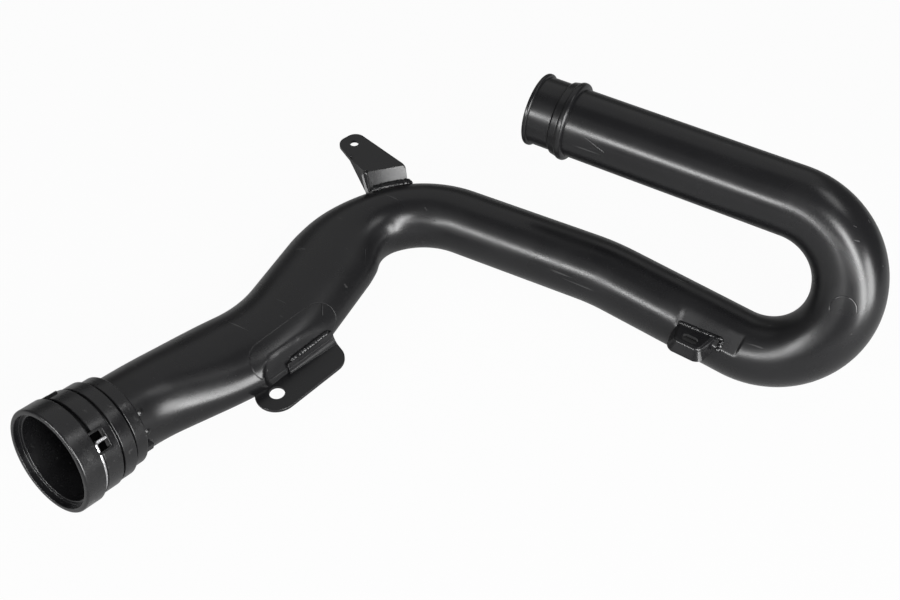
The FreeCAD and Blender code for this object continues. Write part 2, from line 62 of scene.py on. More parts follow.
# Corners of the tube's centre line, and the bend at each of them
neck_corner = Vector((-120, -207, 29.5))
oval_corner = Vector((-81, -114, 24))
elbow_corner = Vector((-91, 53, 25))
leg_corner = Vector((99, 56, 31.5))
turn_corner = Vector((284, 43, 19))
coupling_heading = 81.8
coupling_tilt = 12.0
coupling_run = 80.2
cross_lean = 63.5
cross_back = 13.0
cross_straight = 1.0
return_run = 238.5
neck_bend = 110.0
oval_bend = 117.0
elbow_bend = 69.0
leg_bend = 200.0
turn_bend = 55.5

# Straights and bends up to the end of the long leg's slight bend
runs_to_leg = 8

# Where the tube's section changes, from the coupling's mouth
oval_start = 147.0
oval_end = 259.5
round_start = 325.0
neck_straight = 9.5

# Hose spigot, from its lip
lip_width = 3.6
lip_height = 1.8
spigot_land = 16.5
step_width = 5.8
step_height = 1.5
step_slope = 1.2
bead_width = 6.0
bead_height = 3.8
spigot_margin = 2.0

# Coupling, from its mouth
rim_radius = 38.0
rim_width = 15.5
mouth_radius = 34.4
mouth_depth = 4.5
bore_radius = 31.5
slit_floor = 33.1
slit_width = 3.0
band_radius = 36.2
band_width = 12.5
groove_width = 2.0
middle_radius = 35.3
middle_width = 10.0
rear_radius = 33.0
rear_width = 9.5
rear_groove_radius = 31.0
stop_thickness = 1.5
seat_gap = 0.1

# Roundings of the coupling's edges
mouth_round = 0.6
rim_round = 1.6
rim_back_round = 0.8
ring_round = 0.7
groove_round = 0.4
rear_round = 1.2
bore_round = 0.7
inner_round = 0.2

# Seal in the coupling, with two rounded lips inside and a dip between them
seal_width = 5.8
seal_gap = 0.1
seal_groove_depth = 1.2
seal_depth = 2.4
seal_shoulder = 0.9
seal_lip_place = 1.2
seal_dip = 0.5
seal_back_round = 0.2
seal_lip_round = 0.4
seal_dip_round = 0.3

# Windows for the clip, their raised surrounds, and the lug behind the coupling
window_width = 13.0
window_length = 10.0
window_angles = (-42.0, -138.0)
surround_width = 1.6
surround_depth = 1.2
surround_sink = 0.5
surround_lead = 0.3
surround_side_rise = 0.7
surround_back_rise = 0.5
surround_side_round = 0.4
surround_back_round = 0.3
lug_angle = 8.0
lug_half_width = 2.5
lug_foot = 0.3
lug_top = 3.8
lug_overlap = 1.5
lug_reach = 5.0
lug_round = 0.5

# Wire clip
wire_radius = 1.35
clip_leg = 9.0
clip_leg_start = 5.0
clip_gap = 0.5
clip_bend = 2.2

# Places along the coupling, from its mouth
band_start = rim_width + slit_width
groove_start = band_start + band_width
middle_start = groove_start + groove_width
second_groove = middle_start + middle_width
rear_start = second_groove + groove_width
coupler_length = rear_start + rear_width
seal_start = middle_start + (middle_width - seal_width) / 2 - seal_gap
neck_length = coupler_length + neck_straight

# Dimples in the neck
dimple_radius = 2.2
dimple_height = 0.9
dimple_offset = 3.5
dimple_angles = (-43.0, -13.0, -137.0, -167.0)
dimple_fullness = 0.75
dimple_patch = 2.2
dimple_cuts = 3

# Sheet of the brackets
sheet = 2.5
broken_edge = 0.35
broken_edge_angle = 40
broken_edge_segments = 2

# Side bracket and the flat under it
side_station = 191.5
side_heading = 77.0
side_pad_angle = 18.0
side_pad_depth = 3.0
side_pad_length = 84.0
side_pad_width = 28.0
side_pad_edge = 1.5
side_flange_length = 40.0
side_flange_height = 10.5
side_flange_top = 0.5
side_flange_gap = 0.1
side_plate_reach = 22.0
side_plate_end = 15.0
side_hole_lead = 40.0
side_end_radius = 15.5
side_end_slack = 0.05
side_hole = 11.0
side_bend = 2.0
side_corner_radius = 13.0

# Upper bracket
upper_height = 57.0
upper_hole_place = Vector((-123, 62, 0))
upper_hole = 7.0
upper_tip_radius = 10.0
upper_front_left = Vector((-97, 37.5, 0))
upper_front_right = Vector((-74.5, 60, 0))
upper_neck_left = Vector((-117, 45.5, 0))
upper_tip_flat = 1.5
upper_neck_radius = 12.0
upper_bend = 3.0
upper_lean = 7.0
upper_foot_gap = 0.4
upper_gusset_lean = 2.5
upper_gusset_share = 0.45
upper_front_cuts = 15
upper_gusset_cuts = 9

# Lower bracket and the flat under it
lower_station = 71.5
lower_pad_angle = 45.0
lower_pad_depth = 1.4
lower_pad_length = 46.0
lower_pad_shift = 8.0
lower_pad_run_in = 6.0
lower_pad_step = 2.0
lower_plate_rise = 14.5
lower_plate_reach = 40.0
lower_plate_length = 37.0
lower_front_length = 27.0
lower_corner_radius = 5.0
lower_skirt = 9.0
lower_draft = 3.6
lower_root = 17.0
lower_bend = 2.6
lower_slot_length = 12.0
lower_slot_width = 6.5
lower_slot_reach = 29.5

# Weld beads: the radius of each, the pitch of its ripples and the seed of its unevenness
upper_bead_form = (3.3, 3.0, 11)
side_bead_form = (2.1, 2.6, 5)
lower_bead_form = (1.7, 2.0, 7)
lower_end_bead_form = (2.0, 2.2, 9)
ripple_low = 0.78
ripple_swell = 0.32
bead_uneven = (0.92, 1.08)
bead_wander = 0.15
bead_tip = 0.01

# Where the beads lie, the first two as shares of the upper bracket's front edge
upper_bead_start = 0.06
upper_bead_run = 1.06
upper_bead_out = 0.2
upper_bead_above = 1.2
side_bead_out = 0.6
side_bead_inset = 1.5
lower_bead_inset = 3.6
lower_bead_drop = 10.0

# Marks in the paint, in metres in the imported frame: two ends, a radius around them and a width. The
# first is the outline of the side flat, the second a bending tool's print, which fades out below a
# share of the way between its ends, and the others are scratches.
paint_marks = [
    ((-0.1245, -0.0559, 0.0397), (-0.1147, -0.0079, 0.0374), 0.0145, 0.0005),
    ((0.2073, 0.1351, 0.0912), (0.2069, 0.1356, 0.0922), 0.0088, 0.0005, -2.0),
    ((0.0048, 0.1577, 0.1364), (0.0199, 0.156, 0.1314), 0.0, 0.0005),
    ((-0.1099, 0.1137, 0.0464), (-0.0976, 0.1153, 0.0426), 0.0, 0.0004),
    ((-0.1044, 0.1195, 0.0484), (-0.0929, 0.1163, 0.0419), 0.0, 0.0004),
    ((-0.1239, 0.0648, 0.0414), (-0.118, 0.055, 0.0372), 0.0, 0.0008),
    ((-0.1211, 0.0034, 0.0421), (-0.1168, -0.0033, 0.0392), 0.0, 0.0008),
]

# Colours of the finishes
paint_dark = (0.004, 0.004, 0.0045, 1)
paint_light = (0.007, 0.007, 0.0075, 1)
paint_dust = (0.08, 0.08, 0.08, 1)
paint_scratch = (0.10, 0.10, 0.10, 1)
plastic_dark = (0.004, 0.004, 0.0045, 1)
plastic_light = (0.008, 0.008, 0.0085, 1)
# Lighter colour of the plastic's scuff streaks: scuff wear, and partly a painted sheen
plastic_scuff_and_sheen = (0.07, 0.07, 0.07, 1)
wire_dark = (0.62, 0.62, 0.64, 1)
wire_light = (0.82, 0.82, 0.83, 1)
rubber_dark = (0.010, 0.010, 0.010, 1)
rubber_light = (0.026, 0.026, 0.026, 1)
floor_grey = (0.35, 0.35, 0.35, 1)
white = (1, 1, 1, 1)

# Stage: how white the floor looks to the camera and in reflections, and the world's strength away
# from the camera, plain and added in reflections
floor_size = 6.0
floor_seen = 0.96
floor_mirrored = 0.12
world_plain = 0.07
world_mirrored = 0.05

# Lamps: name, place, target, width, height, power and roll, in metres, watts and degrees
lamps = [
    ("front_strip", (-0.62, -1.6, 0.8), (0, 0, 0.05), 1.6, 0.15, 34, 0),
    ("corner_strip", (0.65, -1.25, 0.85), (0, 0.1, 0.05), 1.0, 0.1, 4, 0),
    ("front_fill", (-0.5, -1.1, 1.6), (0, 0, 0.05), 1.4, 0.8, 1, 0),
    ("back_box", (0.6, 0.5, 1.3), (-0.19, -0.12, 0.03), 0.5, 0.3, 2, 0),
    ("side_strip", (1.0, -0.57, 0.63), (0.05, 0.1, 0.05), 0.26, 1.35, 27, 22),
    ("right_box", (1.5, -0.15, 0.42), (0.2, 0.1, 0.06), 0.45, 0.8, 18, 0),
    ("overhead_box", (-0.63, 1.1, 1.4), (0, 0, 0.05), 2.4, 1.6, 5, 0),
]

# Camera, placed in the drawing frame
camera_place = Vector((318.2, -551.1, 706.7))
camera_target = Vector((0, 0, 0))
camera_lens = 50
camera_sensor = 36

# Fineness of the meshes: the pitches of the rings are for the plain tube, the flats and the spigot
outer_pitches = (2.8, 1.2, 0.3)
inner_pitches = (8.0, 4.0, 1.0)
flat_margin = 10.0
crease_width = 1.1
crease_share = 0.4
crease_passes = 10
rings_at_once = 30
tube_segments = 128
coupler_steps = 144
wire_segments = 16
clip_steps = 90
clip_bend_steps = 6
bead_segments = 12
bead_step = 0.45
upper_bead_points = 16
straight_bead_points = 12
short_bead_points = 5
hole_segments = 48
ring_segments = 4
box_segments = 3
bend_segments = 6
corner_segments = 8
side_corner_segments = 12

# Angles past which an edge stays crisp, and the slack in finding or merging what meets
crisp_edge = 35
crisp_tube = 50
crisp_bead = 60
skin_slack = 0.4
ring_slack = 0.002
spin_slack = 0.001
line_slack = 0.01
fold_slack = 0.05
above_all = 300


# Route of the tube


def heading(plan, rise):
    """Unit vector at an angle in plan from +X and an angle above the floor."""
    level = math.cos(math.radians(rise))
    plan = math.radians(plan)
    return Vector((level * math.cos(plan), level * math.sin(plan), math.sin(math.radians(rise))))


class Run:
    """A straight or an arc of the route: a start, a direction there, a length and perhaps a centre."""

    def __init__(self, start, way, length, centre=None, axis=None):
        self.start = start
        self.way = way
        self.length = length
        self.centre = centre
        self.axis = axis

    def at(self, distance):
        if self.centre is None:
            return self.start + self.way * distance, self.way
        arm = self.start - self.centre
        turn = Matrix.Rotation(distance / arm.length, 3, self.axis)
        return self.centre + turn @ arm, turn @ self.way


def turn_reach(come, go, radius):
    """Distance from a corner to where its bend starts."""
    return radius * math.tan(come.angle(go) / 2)


def make_route(corners, radii):
    """Straights joined by tangent arcs."""
    runs = []
    start = corners[0]
    for before, corner, after, radius in zip(corners, corners[1:], corners[2:], radii):
        come = (corner - before).normalized()
        go = (after - corner).normalized()
        reach = turn_reach(come, go, radius)
        first = corner - come * reach
        inward = (go - come * come.dot(go)).normalized()
        axis = come.cross(go).normalized()
        runs.append(Run(start, come, (first - start).length))
        runs.append(Run(first, come, radius * come.angle(go), first + inward * radius, axis))
        start = corner + go * reach
    runs.append(Run(start, (corners[-1] - start).normalized(), (corners[-1] - start).length))
    return runs


def place_on(runs, distance):
    """Point and direction at a distance along the runs."""
    for run in runs[:-1]:
        if distance <= run.length:
            return run.at(distance)
        distance -= run.length
    return runs[-1].at(min(distance, runs[-1].length))


coupling_axis = heading(coupling_heading, -coupling_tilt)
mouth = neck_corner - coupling_axis * coupling_run
cross = heading(90, cross_lean) * math.cos(math.radians(cross_back))
cross = cross - LONG * math.sin(math.radians(cross_back))
leg_way = (turn_corner - leg_corner).normalized()
cross_run = turn_reach(leg_way, cross, turn_bend) + cross_straight + turn_reach(cross, -LONG, turn_bend)
return_corner = turn_corner + cross * cross_run
lip = return_corner - LONG * return_run
route = make_route(
    [mouth, neck_corner, oval_corner, elbow_corner, leg_corner, turn_corner, return_corner, lip],
    [neck_bend, oval_bend, elbow_bend, leg_bend, turn_bend, turn_bend],
)
route_length = sum(run.length for run in route)
leg_bend_end = sum(run.length for run in route[:runs_to_leg])

seal_centre = mouth + coupling_axis * (seal_start + seal_gap + seal_width / 2)
seal_low, seal_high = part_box("seal_ring")
settle = Matrix.Translation((seal_low + seal_high) / 2 - seal_centre * METRES) @ Matrix.Scale(METRES, 4)


def ease(share):
    """Smooth step from 0 to 1."""
    share = min(max(share, 0.0), 1.0)
    return share * share * (3 - 2 * share)


def section_axes(way):
    """Level and upright directions across a run."""
    side = way.cross(UP).normalized()
    return side, side.cross(way)


def section_size(distance):
    """Width and height of the tube at a distance from the mouth."""
    swell = ease((distance - neck_length) / (oval_start - neck_length))
    shrink = ease((distance - oval_end) / (round_start - oval_end))
    width = neck_od + (oval_width - neck_od) * swell
    height = neck_od + (oval_height - neck_od) * swell
    width += (tube_od - width) * shrink
    height += (tube_od - height) * shrink
    return width, height


class Station:
    """Local directions at a place on the tube, with a flat pressed into its near side."""

    def __init__(self, centre, way, angle, half_width, half_height, depth):
        self.centre = centre
        self.way = way
        self.out, self.top = section_axes(way)
        turn = math.radians(angle)
        self.normal = self.out * math.cos(turn) + self.top * math.sin(turn)
        self.rise = self.top * math.cos(turn) - self.out * math.sin(turn)
        reach = math.hypot(half_width * math.cos(turn), half_height * math.sin(turn))
        touch_out = half_width ** 2 * math.cos(turn) / reach
        touch_top = half_height ** 2 * math.sin(turn) / reach
        self.flat = centre + self.out * touch_out + self.top * touch_top - self.normal * depth

    def local(self, point):
        """Distances along the tube, up the flat and out of it."""
        offset = point - self.flat
        return offset.dot(self.way), offset.dot(self.rise), offset.dot(self.normal)


side_width, side_height = section_size(side_station)
side_place = Station(
    place_on(route, side_station)[0],
    heading(side_heading, 0),
    side_pad_angle,
    side_width / 2,
    side_height / 2,
    side_pad_depth,
)
lower_centre, lower_way = place_on(route, leg_bend_end + lower_station)
lower_place = Station(
    lower_centre, lower_way, lower_pad_angle, tube_od / 2, tube_od / 2, lower_pad_depth
)


# Mesh helpers


def to_mesh(bm, name):
    """Mesh of a finished bmesh."""
    mesh = bpy.data.meshes.new(name)
    bm.to_mesh(mesh)
    bm.free()
    return mesh


def take_in(bm, mesh):
    """Moves a mesh into a bmesh."""
    bm.from_mesh(mesh)
    bpy.data.meshes.remove(mesh)


def added(name, data):
    """New object in the scene."""
    thing = bpy.data.objects.new(name, data)
    bpy.context.scene.collection.objects.link(thing)
    return thing


def verts_of(parts):
    """The vertices among what an operator made."""
    return [part for part in parts if isinstance(part, bmesh.types.BMVert)]


def edges_of(verts):
    """Each edge at the vertices, once and in the order in which it is met."""
    return list(dict.fromkeys(edge for vert in verts for edge in vert.link_edges))


def rounded(bm, parts, offset, segments, affect, clamp_overlap=False):
    """Rounds edges, or the corners of a flat outline."""
    bmesh.ops.bevel(
        bm, geom=parts, offset=offset, offset_type="OFFSET", segments=segments, profile=0.5,
        affect=affect, material=-1, clamp_overlap=clamp_overlap,
    )


def frame_at(centre, side, top, way, half_width, half_height):
    """Matrix that puts a unit circle across a run."""
    axes = Matrix((side, top, way)).transposed().to_4x4()
    return Matrix.Translation(centre) @ axes @ Matrix.Diagonal((half_width, half_height, 1, 1))


def path_frames(points, radii):
    """Ring placements along a list of points, carried along without twist."""
    frames = []
    side = None
    for i, point in enumerate(points):
        way = (points[min(i + 1, len(points) - 1)] - points[max(i - 1, 0)]).normalized()
        if side is None:
            side = way.orthogonal().normalized()
        side = (side - way * side.dot(way)).normalized()
        frames.append(frame_at(point, side, side.cross(way), way, radii[i], radii[i]))
    return frames


def sweep_stretch(frames, segments):
    """Tube through a few ring placements, as a mesh."""
    bm = bmesh.new()
    ring = bmesh.ops.create_circle(bm, segments=segments, radius=1, matrix=frames[0])["verts"]
    edges = edges_of(ring)
    for before, after in zip(frames, frames[1:]):
        made = bmesh.ops.extrude_edge_only(bm, edges=edges)["geom"]
        edges = [part for part in made if isinstance(part, bmesh.types.BMEdge) and part.is_boundary]
        bmesh.ops.transform(bm, matrix=after @ before.inverted(), verts=verts_of(made))
    return to_mesh(bm, "stretch")


def sweep(bm, frames, segments):
    """Tube through a list of ring placements, made in short stretches that are then joined."""
    for first in range(0, len(frames) - 1, rings_at_once):
        take_in(bm, sweep_stretch(frames[first:first + rings_at_once + 1], segments))
    bmesh.ops.remove_doubles(bm, verts=bm.verts, dist=ring_slack)


def close_ends(bm):
    """Faces across the open ends of a swept bar."""
    bmesh.ops.holes_fill(bm, edges=[edge for edge in bm.edges if edge.is_boundary], sides=0)


def mark_edges(bm, angle):
    """Smooth faces, with the edges sharper than an angle left crisp."""
    limit = math.radians(angle)
    for face in bm.faces:
        face.smooth = True
    for edge in bm.edges:
        edge.smooth = len(edge.link_faces) == 2 and edge.calc_face_angle() < limit


def finished(bm, name, nodes, material, crisp=crisp_edge, recalculated=True):
    """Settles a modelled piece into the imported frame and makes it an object."""
    if recalculated:
        bmesh.ops.recalc_face_normals(bm, faces=bm.faces)
    mark_edges(bm, crisp)
    bmesh.ops.transform(bm, matrix=settle, verts=bm.verts)
    piece = added(name, to_mesh(bm, name))
    piece.data.materials.append(material)
    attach(piece, "root")
    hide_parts(*nodes)
    return piece


def weighted(piece):
    """Shading that favours the large faces beside small roundings."""
    modifier = piece.modifiers.new("even shading", "WEIGHTED_NORMAL")
    modifier.keep_sharp = True


def applied(piece):
    """Keeps the shape that the piece's modifiers give it."""
    bpy.context.view_layer.update()
    shaped = piece.evaluated_get(bpy.context.evaluated_depsgraph_get())
    result = bpy.data.meshes.new_from_object(shaped)
    piece.modifiers.clear()
    piece.data = result


def cut_by(piece, bm):
    """Cuts a tool, modelled in the drawing frame, out of a settled piece."""
    bmesh.ops.recalc_face_normals(bm, faces=bm.faces)
    bmesh.ops.transform(bm, matrix=settle, verts=bm.verts)
    cutter = added("cutter", to_mesh(bm, "cutter"))
    cut = piece.modifiers.new("cut", "BOOLEAN")
    cut.object = cutter
    cut.solver = "EXACT"
    applied(piece)
    bpy.data.objects.remove(cutter)


# Tube


def spigot_rise(from_lip):
    """How far the spigot's skin stands above the plain tube."""
    rise = 0.0
    lip_share = (from_lip - lip_width / 2) / (lip_width / 2)
    if abs(lip_share) < 1:
        rise = lip_height * math.sqrt(1 - abs(lip_share) ** 3)
    step_start = lip_width + spigot_land
    bead_start = step_start + step_width
    bead_middle = bead_start + bead_width / 2
    if step_start < from_lip < bead_middle:
        share = (from_lip - step_start) / step_width
        rise = step_height * ease(share * step_width / step_height) + step_slope * min(share, 1)
    bead_share = (from_lip - bead_middle) / (bead_width / 2)
    if abs(bead_share) < 1:
        rise = max(rise, bead_height * math.sqrt(1 - abs(bead_share) ** 3))
    return rise


def tube_places(step, flat_step, spigot_step):
    """Distances along the tube from its neck to its lip, closer together on the flats and the spigot."""
    spigot_length = lip_width + spigot_land + step_width + bead_width + spigot_margin
    lower_middle = leg_bend_end + lower_station + lower_pad_shift
    side_reach = side_pad_length / 2 + flat_margin
    lower_reach = lower_pad_length / 2 + flat_margin
    stops = [
        (rear_start, step),
        (side_station - side_reach, flat_step),
        (side_station + side_reach, step),
        (lower_middle - lower_reach, flat_step),
        (lower_middle + lower_reach, step),
        (route_length - spigot_length, spigot_step),
    ]
    ends = [first for first, pitch in stops[1:]] + [route_length]
    places = []
    for (first, pitch), last in zip(stops, ends):
        count = round((last - first) / pitch)
        places += [first + (last - first) * i / count for i in range(count)]
    return places + [route_length]


def tube_frames(places, inset):
    """Ring placements along the tube: upright in the shaped stretch, carried along after it."""
    frames = []
    side = None
    for distance in places:
        centre, way = place_on(route, distance)
        width, height = section_size(distance)
        rise = spigot_rise(route_length - distance) - inset
        if distance < round_start or side is None:
            side = section_axes(way)[0]
        side = (side - way * side.dot(way)).normalized()
        frames.append(frame_at(centre, side, side.cross(way), way, width / 2 + rise, height / 2 + rise))
    return frames


def stadium_gap(along, across, length, width):
    """How far a point lies outside a round-ended outline."""
    half = (length - width) / 2
    beyond = max(abs(along) - half, 0)
    return math.hypot(beyond, across) - width / 2


def near_crease(vert, place, length):
    """Whether the tube's skin meets the upper edge of a pressed flat near a vertex."""
    along, across, out = place.local(vert.co)
    return 0 < across < tube_od and abs(out) < crease_width and abs(along) < length * crease_share


def press_side_flat(vert, inset):
    """Spoon-ended flat under the side bracket."""
    along, across, out = side_place.local(vert.co)
    if abs(out) > tube_od / 2 or abs(across) > tube_od:
        return
    gap = stadium_gap(along, across, side_pad_length + 2 * inset, side_pad_width + 2 * inset)
    share = ease(-gap / side_pad_edge + 0.5)
    depth = out + inset
    if depth > 0 and share > 0:
        vert.co -= side_place.normal * depth * share


def press_lower_flat(vert, inset):
    """Flat under the lower bracket, with a sharp step at its far end."""
    along, across, out = lower_place.local(vert.co)
    depth = out + inset
    if depth <= 0 or out > tube_od / 2 or abs(across) > tube_od:
        return
    half = lower_pad_length / 2 + inset
    along -= lower_pad_shift
    run_in = ease((along + half) / lower_pad_run_in + 0.5)
    step = ease((half - along) / lower_pad_step + 0.5)
    share = min(run_in, step)
    if share > 0:
        vert.co -= lower_place.normal * depth * share


def raise_dimples(bm):
    """Small round dimples pressed out of the neck behind the coupling."""
    side, top = section_axes(coupling_axis)
    for angle in dimple_angles:
        out = side * math.cos(math.radians(angle)) - top * math.sin(math.radians(angle))
        centre = mouth + coupling_axis * (coupler_length + dimple_offset) + out * (neck_od / 2)
        reach = dimple_patch * dimple_radius
        near = [vert for vert in bm.verts if (vert.co - centre).length < reach]
        edges = [edge for edge in edges_of(near) if all(vert in near for vert in edge.verts)]
        bmesh.ops.subdivide_edges(bm, edges=edges, cuts=dimple_cuts, use_grid_fill=True)
        for vert in bm.verts:
            share = (vert.co - centre).length / dimple_radius
            if share < 1:
                vert.co += out * dimple_height * (1 - share ** 2) ** dimple_fullness


def make_skin(pitches, inset):
    """One skin of the tube, with its flats pressed in and their upper edges softened."""
    bm = bmesh.new()
    sweep(bm, tube_frames(tube_places(*pitches), inset), tube_segments)
    flats = ((side_place, side_pad_length), (lower_place, lower_pad_length))
    creases = [vert for vert in bm.verts if any(near_crease(vert, *flat) for flat in flats)]
    for vert in bm.verts:
        press_side_flat(vert, inset)
        press_lower_flat(vert, inset)
    for i in range(crease_passes):
        bmesh.ops.smooth_vert(
            bm, verts=creases, factor=0.5, use_axis_x=True, use_axis_y=True, use_axis_z=True
        )
    return bm


def join_skins(bm, end, radius):
    """Closes the wall between the outer and the inner skin at an open end of the tube."""
    rims = [edge for edge in bm.edges if edge.is_boundary]
    rims = [edge for edge in rims if (edge.verts[0].co - end).length < radius + tube_wall]
    outer = [edge for edge in rims if (edge.verts[0].co - end).length > radius - tube_wall / 2]
    inner = dict.fromkeys(vert for edge in rims if edge not in outer for vert in edge.verts)
    ring = verts_of(bmesh.ops.extrude_edge_only(bm, edges=outer)["geom"])
    share = 1 - tube_wall / radius
    bmesh.ops.scale(bm, vec=(share, share, share), space=Matrix.Translation(-end), verts=ring)
    bmesh.ops.remove_doubles(bm, verts=ring + list(inner), dist=skin_slack)


def make_tube(material):
    """Outer and inner skin, joined at the neck's end and at the lip: the outer skin, to set pieces on."""
    bm = make_skin(outer_pitches, 0)
    shape = BVHTree.FromBMesh(bm)
    raise_dimples(bm)
    take_in(bm, to_mesh(make_skin(inner_pitches, tube_wall), "bore"))
    join_skins(bm, mouth + coupling_axis * rear_start, neck_od / 2)
    join_skins(bm, lip, tube_od / 2)
    finished(bm, "pipe_skin", ["pipe"], material, crisp_tube)
    return shape


# Coupling


def coupling_matrix(angle=0):
    """Local +Z runs into the pipe, +X level across the coupling and +Y down, turned about +Z."""
    side, top = section_axes(coupling_axis)
    place = Matrix.Translation(mouth) @ Matrix((side, -top, coupling_axis)).transposed().to_4x4()
    return place @ Matrix.Rotation(math.radians(angle), 4, "Z")


def turned(profile):
    """Ring on the coupling's axis, spun from a closed profile of place, radius and rounding."""
    bm = bmesh.new()
    verts = [bm.verts.new((radius, 0, place)) for place, radius, rounding in profile]
    bm.faces.new(verts)
    for rounding in sorted({row[2] for row in profile if row[2] > 0}):
        corners = [vert for vert, row in zip(verts, profile) if row[2] == rounding]
        rounded(bm, corners, rounding, ring_segments, "VERTICES", clamp_overlap=True)
    bmesh.ops.delete(bm, geom=list(bm.faces), context="FACES_ONLY")
    bmesh.ops.spin(
        bm, geom=list(bm.verts) + list(bm.edges), cent=(0, 0, 0), axis=UP, angle=2 * math.pi,
        steps=coupler_steps, use_merge=True,
    )
    bmesh.ops.remove_doubles(bm, verts=bm.verts, dist=spin_slack)
    bmesh.ops.recalc_face_normals(bm, faces=bm.faces)
    bmesh.ops.transform(bm, matrix=coupling_matrix(), verts=bm.verts)
    return bm


def edged_box(bm, low, high, matrix, rounding):
    """Small moulded block with rounded edges."""
    size = Vector(high) - Vector(low)
    middle = (Vector(high) + Vector(low)) / 2
    place = matrix @ Matrix.Translation(middle) @ Matrix.Diagonal((*size, 1))
    made = bmesh.ops.create_cube(bm, size=1, matrix=place)
    rounded(bm, edges_of(made["verts"]), rounding, box_segments, "EDGES", clamp_overlap=True)


def cut_windows(piece):
    """Cuts the clip's two windows through the coupling's wall."""
    for angle in window_angles:
        bm = bmesh.new()
        size = Matrix.Diagonal((2 * window_width, window_width, window_length, 1))
        place = Matrix.Translation((bore_radius, 0, rim_width + window_length / 2))
        bmesh.ops.create_cube(bm, size=1, matrix=coupling_matrix(angle) @ place @ size)
        cut_by(piece, bm)


def add_mouldings(bm):
    """Lug behind the coupling, and a raised surround on three sides of each window."""
    neck = neck_od / 2
    lug_low = (neck + lug_foot, -lug_half_width, coupler_length - lug_overlap)
    lug_high = (neck + lug_top, lug_half_width, coupler_length + lug_reach)
    edged_box(bm, lug_low, lug_high, coupling_matrix(lug_angle), lug_round)
    half = window_width / 2
    foot = slit_floor - surround_sink
    front = rim_width - surround_lead
    rear = rim_width + window_length
    back = rear + surround_depth
    for angle in window_angles:
        turn = coupling_matrix(angle)
        for edge in (-half - surround_width, half):
            high = (band_radius + surround_side_rise, edge + surround_width, back)
            edged_box(bm, (foot, edge, front), high, turn, surround_side_round)
        high = (band_radius + surround_back_rise, half, back)
        edged_box(bm, (foot, -half, rear), high, turn, surround_back_round)


def make_coupler(material):
    """Moulded coupling: rim, slit, band and two rings outside, stepped bore inside."""
    neck = neck_od / 2
    end = coupler_length
    stop = second_groove - stop_thickness
    groove_end = seal_start + seal_width + 2 * seal_gap
    bm = turned([
        (0, mouth_radius, mouth_round),
        (0, rim_radius, rim_round),
        (rim_width, rim_radius, rim_back_round),
        (rim_width, slit_floor, 0),
        (band_start, slit_floor, 0),
        (band_start, band_radius, ring_round),
        (groove_start, band_radius, ring_round),
        (groove_start, slit_floor, groove_round),
        (middle_start, slit_floor, groove_round),
        (middle_start, middle_radius, ring_round),
        (second_groove, middle_radius, ring_round),
        (second_groove, rear_groove_radius, groove_round),
        (rear_start, rear_groove_radius, groove_round),
        (rear_start, rear_radius, ring_round),
        (end, rear_radius, rear_round),
        (end, neck + seat_gap, inner_round),
        (rear_start, neck + seat_gap, 0),
        (rear_start, neck - tube_wall, inner_round),
        (stop, neck - tube_wall, groove_round),
        (stop, bore_radius, inner_round),
        (groove_end, bore_radius, 0),
        (groove_end, bore_radius + seal_groove_depth, 0),
        (seal_start, bore_radius + seal_groove_depth, 0),
        (seal_start, bore_radius, inner_round),
        (mouth_depth, bore_radius, bore_round),
        (mouth_depth, mouth_radius, groove_round),
    ])
    piece = finished(bm, "coupler_shell", ["coupler_body"], material, recalculated=False)
    cut_windows(piece)
    bm = bmesh.new()
    bm.from_mesh(piece.data)
    bmesh.ops.transform(bm, matrix=settle.inverted(), verts=bm.verts)
    add_mouldings(bm)
    mark_edges(bm, crisp_edge)
    bmesh.ops.transform(bm, matrix=settle, verts=bm.verts)
    bm.to_mesh(piece.data)
    bm.free()
    weighted(piece)


def make_clip(material):
    """Spring wire that lies in the slit, with both ends bent back in the windows."""
    ring_radius = slit_floor + clip_gap + wire_radius
    level = rim_width + slit_width / 2
    first = math.radians(window_angles[0])
    last = math.radians(360 + window_angles[1])
    turn = clip_bend / ring_radius
    quarter = [math.pi / 2 * i / clip_bend_steps for i in range(clip_bend_steps + 1)]
    rows = [(first, clip_leg), (first, clip_leg_start)]
    for share in quarter:
        rows.append((first + turn * (1 - math.cos(share)), clip_bend * (1 - math.sin(share))))
    for i in range(1, clip_steps):
        rows.append((first + turn + (last - first - 2 * turn) * i / clip_steps, 0))
    for share in quarter:
        rows.append((last - turn * (1 - math.sin(share)), clip_bend * (1 - math.cos(share))))
    rows += [(last, clip_leg_start), (last, clip_leg)]
    points = []
    for angle, rise in rows:
        x, y = ring_radius * math.cos(angle), ring_radius * math.sin(angle)
        points.append(Vector((x, y, level + rise)))
    bm = bmesh.new()
    sweep(bm, path_frames(points, [wire_radius] * len(points)), wire_segments)
    close_ends(bm)
    bmesh.ops.transform(bm, matrix=coupling_matrix(), verts=bm.verts)
    finished(bm, "clip_wire", ["retaining_clip"], material, crisp_tube)


def make_seal(material):
    """Rubber ring with two rounded lips inside."""
    outer = bore_radius + seal_groove_depth - seal_gap
    inner = outer - seal_depth
    start = seal_start + seal_gap
    end = start + seal_width
    bm = turned([
        (start, outer, seal_back_round),
        (start, inner + seal_shoulder, seal_lip_round),
        (start + seal_lip_place, inner, seal_lip_round),
        ((start + end) / 2, inner + seal_dip, seal_dip_round),
        (end - seal_lip_place, inner, seal_lip_round),
        (end, inner + seal_shoulder, seal_lip_round),
        (end, outer, seal_back_round),
    ])
    finished(bm, "seal_rubber", ["seal_ring"], material, recalculated=False)


# Brackets


def plate_outline(bm, corners, radii, segments=corner_segments):
    """Flat face with each corner rounded by its own radius."""
    verts = [bm.verts.new(corner) for corner in corners]
    bm.faces.new(verts)
    for i, radius in enumerate(radii):
        if radius > 0:
            come = (corners[i] - corners[i - 1]).normalized()
            go = (corners[(i + 1) % len(corners)] - corners[i]).normalized()
            rounded(bm, [verts[i]], turn_reach(come, go, radius), segments, "VERTICES")


